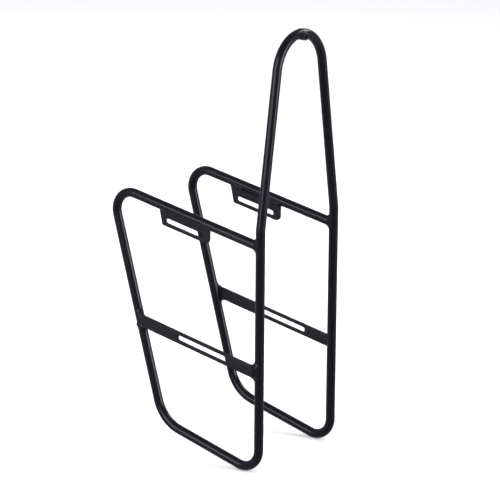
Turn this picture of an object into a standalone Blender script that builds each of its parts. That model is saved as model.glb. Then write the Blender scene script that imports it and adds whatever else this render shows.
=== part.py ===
"""Front low-rider pannier rack for a bicycle, welded from bent aluminium tube and slotted plates.

Frame: metres, +Z up, +X towards the front of the bicycle, +Y to its left. The origin lies midway
between the two lower slots, which is where the fork's dropouts hold the rack. The rack is mirrored
about the plane y = 0.

Side view coordinates (back, up) are measured rearwards and upwards from the foot of the front leg,
where the leg's axis meets the base tube's axis.
"""
import math

import bmesh
import bpy
from mathutils import Matrix, Vector

# ---- driving dimensions (metres, degrees) ---------------------------------------------------
TUBE_OD = 0.010                 # outer diameter of the frame tube
TUBE_WALL = 0.0015              # wall of the frame tube
PANEL_SPACING = 0.1313          # between the axes of the left and right side frames
RAIL_HEIGHT = 0.2491            # rail axis above the foot, at the front leg
RAIL_RISE_DEG = 10.8            # rail and plates climb towards the rear
BASE_RISE_DEG = 14.5            # base tube climbs towards the rear
REAR_FOOT = 0.1201              # rear leg's axis behind the foot, at the foot's height
REAR_LEAN_DEG = 15.7            # rear leg leans back from the vertical
KNEE_ABOVE_RAIL = 0.0177        # where the front leg bends inwards to become the arch
ARCH_LEAN_DEG = 9.0             # arch limbs lean inwards from the vertical

TIGHT_BEND_R = 0.021            # bends at the rail's rear end and at the foot, on the axis
WIDE_BEND_R = 0.040             # bend between base tube and rear leg, on the axis
KNEE_BEND_R = 0.018             # bend at the knee, on the axis
ARCH_BEND_R = 0.0403            # bend over the wheel, on the axis

PLATE_THICKNESS = 0.003
LOWER_PLATE_BELOW_RAIL = 0.1358  # lower plate's centreline below the rail's axis, at the front leg
LOWER_PLATE_DEPTH = 0.0128
LOWER_PLATE_PROUD = 0.0007      # its outer face stands out from the tubes' outer side
LOWER_SLOT_LENGTH = 0.0678
LOWER_SLOT_WIDTH = 0.0059
LOWER_SLOT_BACK = 0.0718        # slot centre behind the front leg's axis

UPPER_PLATE_RECESS = 0.0005     # its inner face stays short of the tubes' inner side
UPPER_SLOT_BACK = 0.1021        # slot centre behind the front leg's axis
UPPER_SLOT_LENGTH = 0.0508
UPPER_SLOT_WIDTH = 0.0057
UPPER_SLOT_ROOF = 0.0072        # metal left above the slot
UPPER_SLOT_LIP = 0.0034         # metal left below and behind the slot
UPPER_FRONT_TAB = 0.0088        # metal left in front of the slot
UPPER_REAR_SLANT = 0.0075       # how far the plate's top edge runs on behind its bottom edge
UPPER_CORNER_R = 0.0055

BOSS_OD = 0.0080                # threaded boss at the top of the arch
BOSS_LENGTH = 0.0165
BOSS_BORE = 0.0042              # core hole of its M5 thread
BOSS_DROP = 0.0026              # boss axis below the tube's axis
BOSS_CHAMFER = 0.0005

VENT_DIAMETER = 0.0026
VENT_BACK = 0.0185              # vent hole behind the front leg's axis

RAIL_WELD_REACH = 0.0062        # how far a weld runs along the rail from the leg's surface
RAIL_WELD_FLARE = 0.0048        # how far it climbs the leg past the rail
PLATE_WELD_REACH = 0.0052       # the same for the lower plate's ends
PLATE_WELD_FLARE = 0.0042
BEAD_RADIUS = 0.0023            # beads between upper plate and rail
BEAD_END_SHARE = 0.35           # a bead's radius at its blunt ends, as a share of BEAD_RADIUS
REAR_BEAD_LENGTH = 0.0170
FRONT_BEAD_LENGTH = 0.0190
BOSS_WELD_RADIUS = 0.0024       # weld metal round the boss beyond its surface
BOSS_WELD_HEEL = 0.0023         # the boss weld's buried face inside the tube's surface
BOSS_WELD_EDGE = 0.0008         # its outer edge inside the tube's surface
BOSS_WELD_TOE = 0.0012          # how far it stands out along the boss

GAP = 0.0003                    # left between pieces that touch
SKIN = 0.0003                   # thinnest weld metal
PLATE_END_GAP = 0.0018          # plate end to tube surface, filled by the weld
RAIL_SLIT = 0.0005              # upper plate's top edge to the rail's underside
FORK_ROOM = 0.0060              # kept free of weld in front of a plate's inner face

# ---- fineness of the mesh ---------------------------------------------------------------------
TUBE_SIDES = 16                 # facets round a tube and round what is laid on it
ROUND_SIDES = 24                # facets round the boss
CUTTER_SIDES = 32
BEAD_SIDES = 12
BEND_STEP_DEG = 12.0            # turn between two rings of a bend
SHARP_DEG = 35.0                # edges that turn more than this stay sharp

# ---- looks ----------------------------------------------------------------------------------
BLACK_COAT = (0.022, 0.022, 0.026, 1.0)
TUBE_ROUGHNESS = 0.40
PLATE_ROUGHNESS = 0.55
WELD_ROUGHNESS = 0.45

# ---- derived sizes --------------------------------------------------------------------------
TUBE_R = TUBE_OD / 2
CLEAR_R = TUBE_R + GAP          # what is laid on a tube starts here
HALF_SPACING = PANEL_SPACING / 2
LOWER_PLATE_OUT = HALF_SPACING + TUBE_R + LOWER_PLATE_PROUD - PLATE_THICKNESS / 2
UPPER_PLATE_OUT = HALF_SPACING - TUBE_R + UPPER_PLATE_RECESS + PLATE_THICKNESS / 2
KNEE_HEIGHT = RAIL_HEIGHT + KNEE_ABOVE_RAIL
RISE = math.radians(RAIL_RISE_DEG)
LEAN = math.radians(REAR_LEAN_DEG)
ARCH_LEAN = math.radians(ARCH_LEAN_DEG)
UPRIGHT = math.pi / 2
SIDE_NAMES = {-1: "right", 1: "left"}

# World directions
ACROSS = Vector((0, 1, 0))
FORWARD = Vector((1, 0, 0))
UP = Vector((0, 0, 1))
ALONG_RAIL = Vector((-math.cos(RISE), 0, math.sin(RISE)))      # rearwards
SQUARE_TO_RAIL = Vector((math.sin(RISE), 0, math.cos(RISE)))   # upwards
UP_REAR_LEG = Vector((-math.sin(LEAN), 0, math.cos(LEAN)))


# ---- side view geometry ---------------------------------------------------------------------
def line(back, up, angle):
    """A line through (back, up) that runs rearwards and climbs by angle."""
    return Vector((back, up)), Vector((math.cos(angle), math.sin(angle)))


def upright_at(back):
    """The upright line at a distance behind the front leg's axis."""
    return line(back, 0, UPRIGHT)


def shifted(ln, distance):
    """The line moved sideways; a positive distance moves a rearward line upwards."""
    point, direction = ln
    return point + distance * Vector((-direction.y, direction.x)), direction


def meet(first, second):
    """Where two lines cross."""
    (p, d), (q, e) = first, second
    k = ((q - p).x * e.y - (q - p).y * e.x) / (d.x * e.y - d.y * e.x)
    return p + k * d


LEG_LINE = upright_at(0)
REAR_LINE = line(REAR_FOOT, 0, UPRIGHT - LEAN)
BASE_LINE = line(0, 0, math.radians(BASE_RISE_DEG))
RAIL_LINE = line(0, RAIL_HEIGHT, RISE)
LOWER_LINE = line(0, RAIL_HEIGHT - LOWER_PLATE_BELOW_RAIL, RISE)

UPPER_TOP_LINE = shifted(RAIL_LINE, -TUBE_R - RAIL_SLIT)
UPPER_SLOT_LINE = shifted(UPPER_TOP_LINE, -UPPER_SLOT_ROOF - UPPER_SLOT_WIDTH / 2)
UPPER_BOTTOM_LINE = shifted(UPPER_SLOT_LINE, -UPPER_SLOT_WIDTH / 2 - UPPER_SLOT_LIP)

LOWER_SLOT_CENTRE = meet(LOWER_LINE, upright_at(LOWER_SLOT_BACK))
UPPER_SLOT_CENTRE = meet(UPPER_SLOT_LINE, upright_at(UPPER_SLOT_BACK))

APEX_CORNER_UP = KNEE_HEIGHT + HALF_SPACING / math.tan(ARCH_LEAN)
APEX_UP = APEX_CORNER_UP - ARCH_BEND_R / math.sin(ARCH_LEAN) + ARCH_BEND_R


def place(point, across):
    """World position of a side view point at a distance across the rack."""
    return Vector((LOWER_SLOT_CENTRE.x - point[0], across, point[1] - LOWER_SLOT_CENTRE.y))


# ---- materials and objects ------------------------------------------------------------------
def coat(name, roughness):
    """Black powder coat for one part."""
    material = bpy.data.materials.new(name)
    material.use_nodes = True
    shader = material.node_tree.nodes["Principled BSDF"]
    shader.inputs["Base Color"].default_value = BLACK_COAT
    shader.inputs["Roughness"].default_value = roughness
    shader.inputs["Metallic"].default_value = 0.0
    return material


def add_object(name, bm, origin, parent, roughness=TUBE_ROUGHNESS):
    """Make an object of a bmesh in world coordinates, with its own origin at the given point."""
    bmesh.ops.recalc_face_normals(bm, faces=bm.faces)
    bmesh.ops.translate(bm, verts=bm.verts, vec=-origin)
    mesh = bpy.data.meshes.new(name)
    bm.to_mesh(mesh)
    bm.free()
    mesh.shade_smooth()
    mesh.set_sharp_from_angle(angle=math.radians(SHARP_DEG))
    mesh.materials.append(coat(name + "_coat", roughness))
    obj = bpy.data.objects.new(name, mesh)
    obj.location = origin
    obj.parent = parent
    bpy.context.scene.collection.objects.link(obj)
    return obj


def cut(obj, cutter):
    """Subtract a cutter, which stays in the scene hidden, from an object."""
    cutter.hide_render = True
    cutter.display_type = "WIRE"
    modifier = obj.modifiers.new("cut_" + cutter.name, "BOOLEAN")
    modifier.operation = "DIFFERENCE"
    modifier.solver = "EXACT"
    modifier.object = cutter


# ---- surfaces -------------------------------------------------------------------------------
def ring_frame(tangent, side):
    """Two unit vectors square to the tangent, the first as near to side as it can be."""
    first = (side - side.dot(tangent) * tangent).normalized()
    return first, tangent.cross(first)


def join_rings(bm, lower, upper):
    """A band of quads between two equal rings of vertices."""
    for i in range(len(lower)):
        j = (i + 1) % len(lower)
        bm.faces.new((lower[i], lower[j], upper[j], upper[i]))


def loft(bm, rings, close_ends=True):
    """Skin equal rings of points one after another, with a flat face on each end."""
    loops = [[bm.verts.new(point) for point in ring] for ring in rings]
    for lower, upper in zip(loops, loops[1:]):
        join_rings(bm, lower, upper)
    if close_ends:
        bm.faces.new(loops[0])
        bm.faces.new(loops[-1])
    return loops


def oval_ring(centre, first, second, half_first, half_second, power=2.0, sides=TUBE_SIDES):
    """A ring round centre; a power above 2 squares it up like a rounded rectangle."""
    ring = []
    for i in range(sides):
        angle = 2 * math.pi * (i + 0.5) / sides
        c, s = math.cos(angle), math.sin(angle)
        reach = (abs(c) ** power + abs(s) ** power) ** (-1 / power)
        ring.append(centre + half_first * c * reach * first + half_second * s * reach * second)
    return ring


def rod(name, start, end, radius, parent, sides=CUTTER_SIDES):
    """A plain round bar between two points."""
    tangent = (end - start).normalized()
    first, second = ring_frame(tangent, tangent.orthogonal())
    bm = bmesh.new()
    loft(bm, [oval_ring(p, first, second, radius, radius, sides=sides) for p in (start, end)])
    return add_object(name, bm, start, parent)


def bend_path(corners):
    """Axis of a bent tube: straight runs between corners, each rounded by an arc of its radius.

    Each corner is (point, radius); the first and last have no radius. Returns points with tangents.
    """
    first, last = corners[0][0], corners[-1][0]
    path = [(first, (corners[1][0] - first).normalized())]
    for before, (corner, radius), after in zip(corners, corners[1:], corners[2:]):
        inward = (corner - before[0]).normalized()
        outward = (after[0] - corner).normalized()
        turn = inward.angle(outward)
        start = corner - inward * radius * math.tan(turn / 2)
        axis = inward.cross(outward).normalized()
        centre = start + axis.cross(inward) * radius
        steps = 2 * math.ceil(math.degrees(turn) / BEND_STEP_DEG / 2)
        for k in range(steps + 1):
            swing = Matrix.Rotation(turn * k / steps, 3, axis)
            path.append((centre + swing @ (start - centre), swing @ inward))
    path.append((last, (last - corners[-2][0]).normalized()))
    return path


# ---- the bent tubes -------------------------------------------------------------------------
def side_tube_corners(side):
    """Corners of one side's tube: rail, rear leg, base, front leg, then both limbs of the arch."""
    across = side * HALF_SPACING
    return [
        (place(RAIL_LINE[0], across), None),
        (place(meet(RAIL_LINE, REAR_LINE), across), TIGHT_BEND_R),
        (place(meet(REAR_LINE, BASE_LINE), across), WIDE_BEND_R),
        (place(meet(BASE_LINE, LEG_LINE), across), TIGHT_BEND_R),
        (place((0, KNEE_HEIGHT), across), KNEE_BEND_R),
        (place((0, APEX_CORNER_UP), 0), ARCH_BEND_R),
        (place((0, KNEE_HEIGHT), -across), None),
    ]


def up_to_apex(path):
    """The path without its far limb: up to the middle of its last bend."""
    apex = min(range(len(path) // 2, len(path)), key=lambda k: abs(path[k][0].y))
    return path[:apex + 1]


def tube_rings(path, radius, side):
    """Rings round the path. The rail's end is coped to the front leg, the arch ends at the gap."""
    frame = ACROSS
    rings = []
    for point, tangent in path:
        first, second = ring_frame(tangent, frame)
        frame = first
        rings.append(oval_ring(point, first, second, radius, radius))
    rail_point, rail_tangent = path[0]
    for i, point in enumerate(rings[0]):
        aside = point.y - rail_point.y
        saddle_x = rail_point.x - math.sqrt(CLEAR_R ** 2 - aside ** 2)
        rings[0][i] = point + (saddle_x - point.x) / rail_tangent.x * rail_tangent
    rings[-1] = [Vector((p.x, side * GAP / 2, p.z)) for p in rings[-1]]
    return rings


def build_side_tube(side, parent):
    """One side's tube in a single piece, hollow, with its vent hole."""
    path = up_to_apex(bend_path(side_tube_corners(side)))
    bm = bmesh.new()
    outer = loft(bm, tube_rings(path, TUBE_R, side), close_ends=False)
    inner = loft(bm, tube_rings(path, TUBE_R - TUBE_WALL, side), close_ends=False)
    join_rings(bm, outer[0], inner[0])
    join_rings(bm, outer[-1], inner[-1])
    foot = place((0, 0), side * HALF_SPACING)
    tube = add_object("side_tube_" + SIDE_NAMES[side], bm, foot, parent)

    vent = place(meet(RAIL_LINE, upright_at(VENT_BACK)), side * HALF_SPACING)
    inward = -side * ACROSS
    cut(tube, rod("vent_cutter_" + SIDE_NAMES[side], vent, vent + inward * TUBE_OD,
                  VENT_DIAMETER / 2, parent, TUBE_SIDES))
    return tube


# ---- plates ---------------------------------------------------------------------------------
def extrude_outline(name, outline, thickness, centre, across, parent):
    """A flat piece whose (back, up) outline is extruded evenly about a plane across the rack."""
    bm = bmesh.new()
    near, far = [[bm.verts.new(place(p, across + s * thickness / 2)) for p in outline] for s in (-1, 1)]
    join_rings(bm, near, far)
    bm.faces.new(near)
    bm.faces.new(far)
    return add_object(name, bm, place(centre, across), parent, PLATE_ROUGHNESS)


def arc_points(centre, radius, start, end, steps):
    """Points on an arc between two angles, both ends included."""
    angles = [start + (end - start) * k / steps for k in range(steps + 1)]
    return [centre + radius * Vector((math.cos(a), math.sin(a))) for a in angles]


def slot_outline(centre, length, width, steps=8):
    """A slot with round ends that climbs with the rail."""
    reach = (length - width) / 2 * RAIL_LINE[1]
    rear = arc_points(centre + reach, width / 2, RISE - UPRIGHT, RISE + UPRIGHT, steps)
    front = arc_points(centre - reach, width / 2, RISE + UPRIGHT, RISE + 3 * UPRIGHT, steps)
    return rear + front


def rounded_outline(corners, steps=5):
    """A polygon whose corners, each (point, radius), are rounded where the radius isn't zero."""
    outline = []
    for k, (corner, radius) in enumerate(corners):
        if not radius:
            outline.append(corner)
            continue
        before, after = corners[k - 1][0], corners[(k + 1) % len(corners)][0]
        towards = [(point - corner).normalized() for point in (before, after)]
        half = towards[0].angle(towards[1]) / 2
        centre = corner + (towards[0] + towards[1]).normalized() * radius / math.sin(half)
        ends = [corner + t * radius / math.tan(half) - centre for t in towards]
        start, end = (math.atan2(e.y, e.x) for e in ends)
        sweep = (end - start + math.pi) % (2 * math.pi) - math.pi
        outline += arc_points(centre, radius, start, start + sweep, steps)
    return outline


def lower_plate_outline(grow=0.0):
    """The lower plate reaches from the front leg to the rear leg, a weld's gap short of each."""
    top = shifted(LOWER_LINE, LOWER_PLATE_DEPTH / 2 + grow)
    bottom = shifted(LOWER_LINE, -LOWER_PLATE_DEPTH / 2 - grow)
    end_gap = TUBE_R + PLATE_END_GAP - grow
    front = shifted(LEG_LINE, -end_gap)
    rear = shifted(REAR_LINE, end_gap)
    return [meet(bottom, front), meet(bottom, rear), meet(top, rear), meet(top, front)]


def upper_plate_corners(grow=0.0):
    """Corners of the plate under the rail: low front, low rear, high rear, high front.

    Its front end is upright and its rear end slants. The lower two corners are rounded.
    """
    top = shifted(UPPER_TOP_LINE, grow)
    bottom = shifted(UPPER_BOTTOM_LINE, -grow)
    along = RAIL_LINE[1]
    half_slot = UPPER_SLOT_LENGTH / 2
    front = upright_at((UPPER_SLOT_CENTRE - along * (half_slot + UPPER_FRONT_TAB + grow)).x)
    rear_point = UPPER_SLOT_CENTRE + along * (half_slot + UPPER_SLOT_LIP + grow)
    square_at_rear = line(*rear_point, RISE + UPRIGHT)
    low_rear = meet(bottom, square_at_rear)
    high_rear = meet(top, square_at_rear) + along * UPPER_REAR_SLANT
    return [meet(bottom, front), low_rear, high_rear, meet(top, front)]


def upper_plate_outline():
    """The upper plate's corners joined up, with the lower two rounded."""
    low_front, low_rear, high_rear, high_front = upper_plate_corners()
    return rounded_outline([(low_front, UPPER_CORNER_R), (low_rear, UPPER_CORNER_R),
                            (high_rear, 0), (high_front, 0)])


def build_plates(side, parent):
    """The slotted plates that the fork's eyelets are bolted to.

    Returns the clearances of their welds, which also keep the welds off the inner faces.
    """
    plates = {
        "lower": (lower_plate_outline(), lower_plate_outline(GAP), LOWER_PLATE_OUT,
                  LOWER_SLOT_CENTRE, LOWER_SLOT_LENGTH, LOWER_SLOT_WIDTH),
        "upper": (upper_plate_outline(), upper_plate_corners(GAP), UPPER_PLATE_OUT,
                  UPPER_SLOT_CENTRE, UPPER_SLOT_LENGTH, UPPER_SLOT_WIDTH),
    }
    clearances = {}
    for level, (outline, grown, distance, centre, length, width) in plates.items():
        name = level + "_plate_" + SIDE_NAMES[side]
        across = side * distance
        plate = extrude_outline(name, outline, PLATE_THICKNESS, centre, across, parent)
        slot = slot_outline(centre, length, width)
        cut(plate, extrude_outline(name + "_slot_cutter", slot, 2 * PLATE_THICKNESS, centre, across, parent))
        clearances[level + "_plate"] = extrude_outline(
            name + "_cutter", grown, PLATE_THICKNESS + GAP + FORK_ROOM, centre,
            across - side * (FORK_ROOM - GAP) / 2, parent)
    return clearances


def tube_clearances(side, parent):
    """Clearance solids round the tubes that the welds are laid on."""
    across = side * HALF_SPACING
    foot, knee = place((0, 0), across), place((0, KNEE_HEIGHT), across)
    rail_front = place(RAIL_LINE[0] - RAIL_LINE[1] * TUBE_R, across)
    rail_rear = place(meet(RAIL_LINE, REAR_LINE), across)
    base_rear = place(meet(BASE_LINE, REAR_LINE), across)
    runs = {"leg": (foot, knee), "rail": (rail_front, rail_rear), "rear_leg": (base_rear, rail_rear)}
    return {name: rod(name + "_cutter_" + SIDE_NAMES[side], start, end, CLEAR_R, parent)
            for name, (start, end) in runs.items()}


# ---- welds ----------------------------------------------------------------------------------
def weld_collar(name, foot, away, up, half_up, half_across, reach, flare, parent, power=2.0):
    """Weld metal round the end of a bar or plate that meets a tube.

    foot is the point on the tube's axis, away the bar's direction and up the tube's. Seen from the
    side the metal flares up and down the tube in concave fillets, quarter ellipses reach long and
    flare high, and it goes on inside the tube's surface, where the tube's clearance cuts it off.
    """
    fillet_steps = 5
    stations = [(1 - k / fillet_steps, TUBE_R + reach * (1 - k / fillet_steps))
                for k in range(fillet_steps + 1)]
    stations.append((0.0, TUBE_R / 2))
    rings = []
    for share, distance in stations:
        climb = flare * (1 - math.sqrt(1 - (1 - share) ** 2))
        rings.append(oval_ring(foot + away * distance, up, ACROSS, half_up + climb, half_across, power))
    bm = bmesh.new()
    loft(bm, rings)
    return add_object(name, bm, foot, parent, WELD_ROUGHNESS)


def build_rail_weld(side, parent, cutters):
    """Weld between the rail's coped end and the front leg."""
    radius = CLEAR_R + SKIN
    foot = place(RAIL_LINE[0], side * HALF_SPACING)
    weld = weld_collar("rail_weld_" + SIDE_NAMES[side], foot, ALONG_RAIL, UP, radius / math.cos(RISE),
                       radius, RAIL_WELD_REACH, RAIL_WELD_FLARE, parent)
    cut(weld, cutters["leg"])
    cut(weld, cutters["rail"])


def build_lower_plate_welds(side, parent, cutters):
    """Welds at both ends of the lower plate.

    They lap its edges and its outer face and stay flush with its inner face, where the fork lies.
    """
    boxy = 5.0
    lap = GAP + 2 * SKIN
    across = side * (LOWER_PLATE_OUT + lap / 2)
    half_across = (PLATE_THICKNESS + lap) / 2
    half_depth = LOWER_PLATE_DEPTH / 2 + GAP + SKIN
    for end, tube, tube_line, away, up in (("front", "leg", LEG_LINE, ALONG_RAIL, UP),
                                           ("rear", "rear_leg", REAR_LINE, -ALONG_RAIL, UP_REAR_LEG)):
        foot = place(meet(LOWER_LINE, tube_line), across)
        half_up = half_depth / up.dot(SQUARE_TO_RAIL)
        weld = weld_collar("lower_weld_" + end + "_" + SIDE_NAMES[side], foot, away, up, half_up,
                           half_across, PLATE_WELD_REACH, PLATE_WELD_FLARE, parent, boxy)
        cut(weld, cutters[tube])
        cut(weld, cutters["lower_plate"])


def build_upper_plate_welds(side, parent, cutters):
    """Two short beads that bridge the corner between the upper plate's inner face and the rail."""
    steps = 10
    inset = TUBE_R - UPPER_PLATE_RECESS
    across = side * (HALF_SPACING - inset - GAP)
    _, _, high_rear, high_front = upper_plate_corners()
    corner_height = TUBE_R + RAIL_SLIT - math.sqrt(TUBE_R ** 2 - inset ** 2)
    for end, corner, direction, length in (("front", high_front, ALONG_RAIL, FRONT_BEAD_LENGTH),
                                           ("rear", high_rear, -ALONG_RAIL, REAR_BEAD_LENGTH)):
        start = place(corner, across) + SQUARE_TO_RAIL * corner_height / 2 + direction * SKIN
        rings = []
        for k in range(steps + 1):
            share = k / steps
            fullness = math.sqrt(1 - (2 * share - 1) ** 4)
            radius = BEAD_RADIUS * (BEAD_END_SHARE + (1 - BEAD_END_SHARE) * fullness)
            centre = start + direction * length * share
            rings.append(oval_ring(centre, ACROSS, SQUARE_TO_RAIL, radius, radius, sides=BEAD_SIDES))
        bm = bmesh.new()
        loft(bm, rings)
        name = "upper_weld_" + end + "_" + SIDE_NAMES[side]
        weld = add_object(name, bm, start, parent, WELD_ROUGHNESS)
        cut(weld, cutters["rail"])
        cut(weld, cutters["upper_plate"])


# ---- the boss at the top of the arch ----------------------------------------------------------
def ring_about_x(name, profile, centre, parent, roughness):
    """A closed profile of (along, radius) points turned about a fore-and-aft axis."""
    angles = [2 * math.pi * (i + 0.5) / ROUND_SIDES for i in range(ROUND_SIDES)]
    bm = bmesh.new()
    loops = []
    for along, radius in profile:
        points = [Vector((along, radius * math.cos(a), radius * math.sin(a))) for a in angles]
        loops.append([bm.verts.new(centre + point) for point in points])
    for k, lower in enumerate(loops):
        join_rings(bm, lower, loops[(k + 1) % len(loops)])
    return add_object(name, bm, centre, parent, roughness)


def arch_clearance(parent):
    """A solid round both limbs of the arch, from knee to knee."""
    knee_z = place((0, KNEE_HEIGHT), 0).z
    rings = [oval_ring(point, *ring_frame(tangent, FORWARD), CLEAR_R, CLEAR_R)
             for point, tangent in bend_path(side_tube_corners(-1)) if point.z > knee_z]
    bm = bmesh.new()
    loft(bm, rings)
    return add_object("arch_cutter", bm, place((0, KNEE_HEIGHT), 0), parent)


def build_apex(parent, tubes):
    """The threaded boss between the two tubes' upper ends, and the welds round it."""
    centre = place((0, APEX_UP - BOSS_DROP), 0)
    end, chamfered = BOSS_LENGTH / 2, BOSS_LENGTH / 2 - BOSS_CHAMFER
    outer, bore = BOSS_OD / 2, BOSS_BORE / 2
    mouth, shoulder = bore + BOSS_CHAMFER, outer - BOSS_CHAMFER
    half_profile = [(end, mouth), (end, shoulder), (chamfered, outer)]
    profile = [(chamfered, bore)] + half_profile
    profile += [(-along, radius) for along, radius in reversed(profile)]
    ring_about_x("apex_boss", profile, centre, parent, TUBE_ROUGHNESS)

    through = FORWARD * (end + TUBE_R)
    notch = rod("boss_cutter", centre - through, centre + through, outer + GAP, parent)
    for tube in tubes:
        cut(tube, notch)

    arch = arch_clearance(parent)
    inner = outer + GAP
    wide = outer + BOSS_WELD_RADIUS
    heel, edge, toe = TUBE_R - BOSS_WELD_HEEL, TUBE_R - BOSS_WELD_EDGE, TUBE_R + BOSS_WELD_TOE
    for name, face in (("front", 1), ("rear", -1)):
        profile = [(face * heel, inner), (face * heel, wide), (face * edge, wide),
                   (face * toe, inner + 2 * SKIN), (face * (toe + SKIN), inner)]
        weld = ring_about_x("apex_weld_" + name, profile, centre, parent, WELD_ROUGHNESS)
        cut(weld, arch)


# ---- the whole rack ---------------------------------------------------------------------------
def build():
    """Clear the scene and build every piece of the rack."""
    for obj in list(bpy.data.objects):
        bpy.data.objects.remove(obj)
    rack = bpy.data.objects.new("rack", None)
    bpy.context.scene.collection.objects.link(rack)
    tubes = []
    for side in SIDE_NAMES:
        tubes.append(build_side_tube(side, rack))
        cutters = build_plates(side, rack) | tube_clearances(side, rack)
        build_rail_weld(side, rack, cutters)
        build_lower_plate_welds(side, rack, cutters)
        build_upper_plate_welds(side, rack, cutters)
    build_apex(rack, tubes)


build()
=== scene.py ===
"""Looks of a front low-rider pannier rack: bent tubes, slotted plates, welds and their powder coat.

Everything is in metres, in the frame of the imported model: +X to the front of the bicycle, +Y to its
left, +Z up. The origin is midway between the two lower slots. Points are numpy arrays whose last axis
is (x, y, z). A field is a function that gives the signed distance from points to a solid.
"""
from __future__ import annotations

import logging
import math
from collections.abc import Callable
from dataclasses import dataclass, field, replace
from enum import Enum

import bpy
import numpy as np
from mathutils import Matrix, Vector

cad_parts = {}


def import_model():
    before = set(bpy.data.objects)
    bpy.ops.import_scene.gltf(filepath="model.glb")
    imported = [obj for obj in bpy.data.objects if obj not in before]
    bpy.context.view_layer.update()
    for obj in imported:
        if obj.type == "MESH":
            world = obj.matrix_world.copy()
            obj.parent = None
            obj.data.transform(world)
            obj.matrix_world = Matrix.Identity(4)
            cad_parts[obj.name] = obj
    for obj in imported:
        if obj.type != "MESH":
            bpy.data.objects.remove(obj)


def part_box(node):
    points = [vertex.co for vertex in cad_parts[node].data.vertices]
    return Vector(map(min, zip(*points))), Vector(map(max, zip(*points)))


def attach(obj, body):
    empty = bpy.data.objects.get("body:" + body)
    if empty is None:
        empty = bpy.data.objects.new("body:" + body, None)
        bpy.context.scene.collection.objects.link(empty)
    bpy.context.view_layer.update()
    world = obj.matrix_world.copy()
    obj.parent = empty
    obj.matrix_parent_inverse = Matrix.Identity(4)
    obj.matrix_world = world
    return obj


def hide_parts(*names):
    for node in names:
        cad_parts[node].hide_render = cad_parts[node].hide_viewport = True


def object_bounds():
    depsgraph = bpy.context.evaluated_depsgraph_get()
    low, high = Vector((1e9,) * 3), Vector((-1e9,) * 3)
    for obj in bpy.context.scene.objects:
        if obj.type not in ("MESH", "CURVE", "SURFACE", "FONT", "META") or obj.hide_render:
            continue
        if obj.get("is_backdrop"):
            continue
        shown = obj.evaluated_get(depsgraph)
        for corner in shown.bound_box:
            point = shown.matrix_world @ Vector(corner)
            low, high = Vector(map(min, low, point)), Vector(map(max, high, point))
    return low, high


log = logging.getLogger("rack")
Array = np.ndarray
Piece = bpy.types.Object
Socket = bpy.types.NodeSocket
Tree = bpy.types.NodeTree
Pair = tuple[float, float]
Triple = tuple[float, float, float]
Field = Callable[[Array], Array]

NEARLY_ZERO = 1e-9
ACROSS = np.array([0.0, 1.0, 0.0])
FORWARD = np.array([1.0, 0.0, 0.0])
UP = np.array([0.0, 0.0, 1.0])


class Choice(Enum):
    """A choice that node names spell out."""

    @property
    def label(self) -> str:
        """The choice's name as the nodes spell it."""
        return self.name.lower()


class Side(Choice):
    """The two side frames, by the sign of their place across the rack."""

    RIGHT = -1
    LEFT = 1


class End(Choice):
    """Front or rear end of a piece, by the sign of its direction along the bicycle."""

    FRONT = 1
    REAR = -1


# ---- surfaces as grids of points
def unit(vectors: Array) -> Array:
    """Vectors scaled to length one."""
    return vectors / np.linalg.norm(vectors, axis=-1, keepdims=True)


def full_turn(steps: int) -> Array:
    """Angles of even steps round a circle, without the last, which is the first again."""
    return np.linspace(0, 2 * math.pi, steps, endpoint=False)


def quads_of(rows: int, columns: int, wrap_rows: bool, wrap_columns: bool) -> Array:
    """Corner indices of the quads between neighbours in a grid.

    Args:
        rows: Points along the first parameter.
        columns: Points along the second parameter.
        wrap_rows: Whether the last row joins the first.
        wrap_columns: Whether the last column joins the first.

    Returns:
        An integer array of four corners a quad.
    """
    i, j = np.meshgrid(np.arange(rows if wrap_rows else rows - 1),
                       np.arange(columns if wrap_columns else columns - 1), indexing="ij")
    below, right = (i + 1) % rows, (j + 1) % columns
    corners = [i * columns + j, i * columns + right, below * columns + right, below * columns + j]
    return np.stack([corner.ravel() for corner in corners], axis=1)


def enclosed_volume(points: Array, faces: list[list[int]]) -> float:
    """Six times the signed volume inside a closed mesh: the sum of a . (b x c) over its triangles."""
    fans = [(face[0], b, c) for face in faces for b, c in zip(face[1:], face[2:])]
    a, b, c = np.moveaxis(points[np.array(fans)], 1, 0)
    return float(np.einsum("ij,ij->", a, np.cross(b, c)))


def into_scene(name: str, data: bpy.types.ID) -> Piece:
    """A new object with that data, at the origin of the scene."""
    made = bpy.data.objects.new(name, data)
    bpy.context.scene.collection.objects.link(made)
    return made


def make_piece(name: str, points: Array, faces: list[list[int]], sharp_deg: float | None) -> Piece:
    """A mesh object whose closed surface faces outwards.

    Args:
        name: The piece's name.
        points: Its vertices.
        faces: Vertex indices of each face, all wound the same way.
        sharp_deg: Edges that turn more than this stay sharp; None keeps the whole piece smooth.

    Returns:
        The object, at the origin.
    """
    if enclosed_volume(points, faces) < 0:
        faces = [face[::-1] for face in faces]
    mesh = bpy.data.meshes.new(name)
    mesh.from_pydata(points.tolist(), [], faces)
    mesh.shade_smooth()
    if sharp_deg is not None:
        mesh.set_sharp_from_angle(angle=math.radians(sharp_deg))
    return into_scene(name, mesh)


def ring_surface(name: str, grid: Array, sharp_deg: float | None = None) -> Piece:
    """A piece whose grid closes on itself both ways, like a ring or a slotted plate.

    Args:
        name: The piece's name.
        grid: Points of shape (rows, columns, 3).
        sharp_deg: As in make_piece.

    Returns:
        The object.
    """
    rows, columns = grid.shape[:2]
    faces = quads_of(rows, columns, True, True).tolist()
    return make_piece(name, grid.reshape(-1, 3), faces, sharp_deg)


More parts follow.
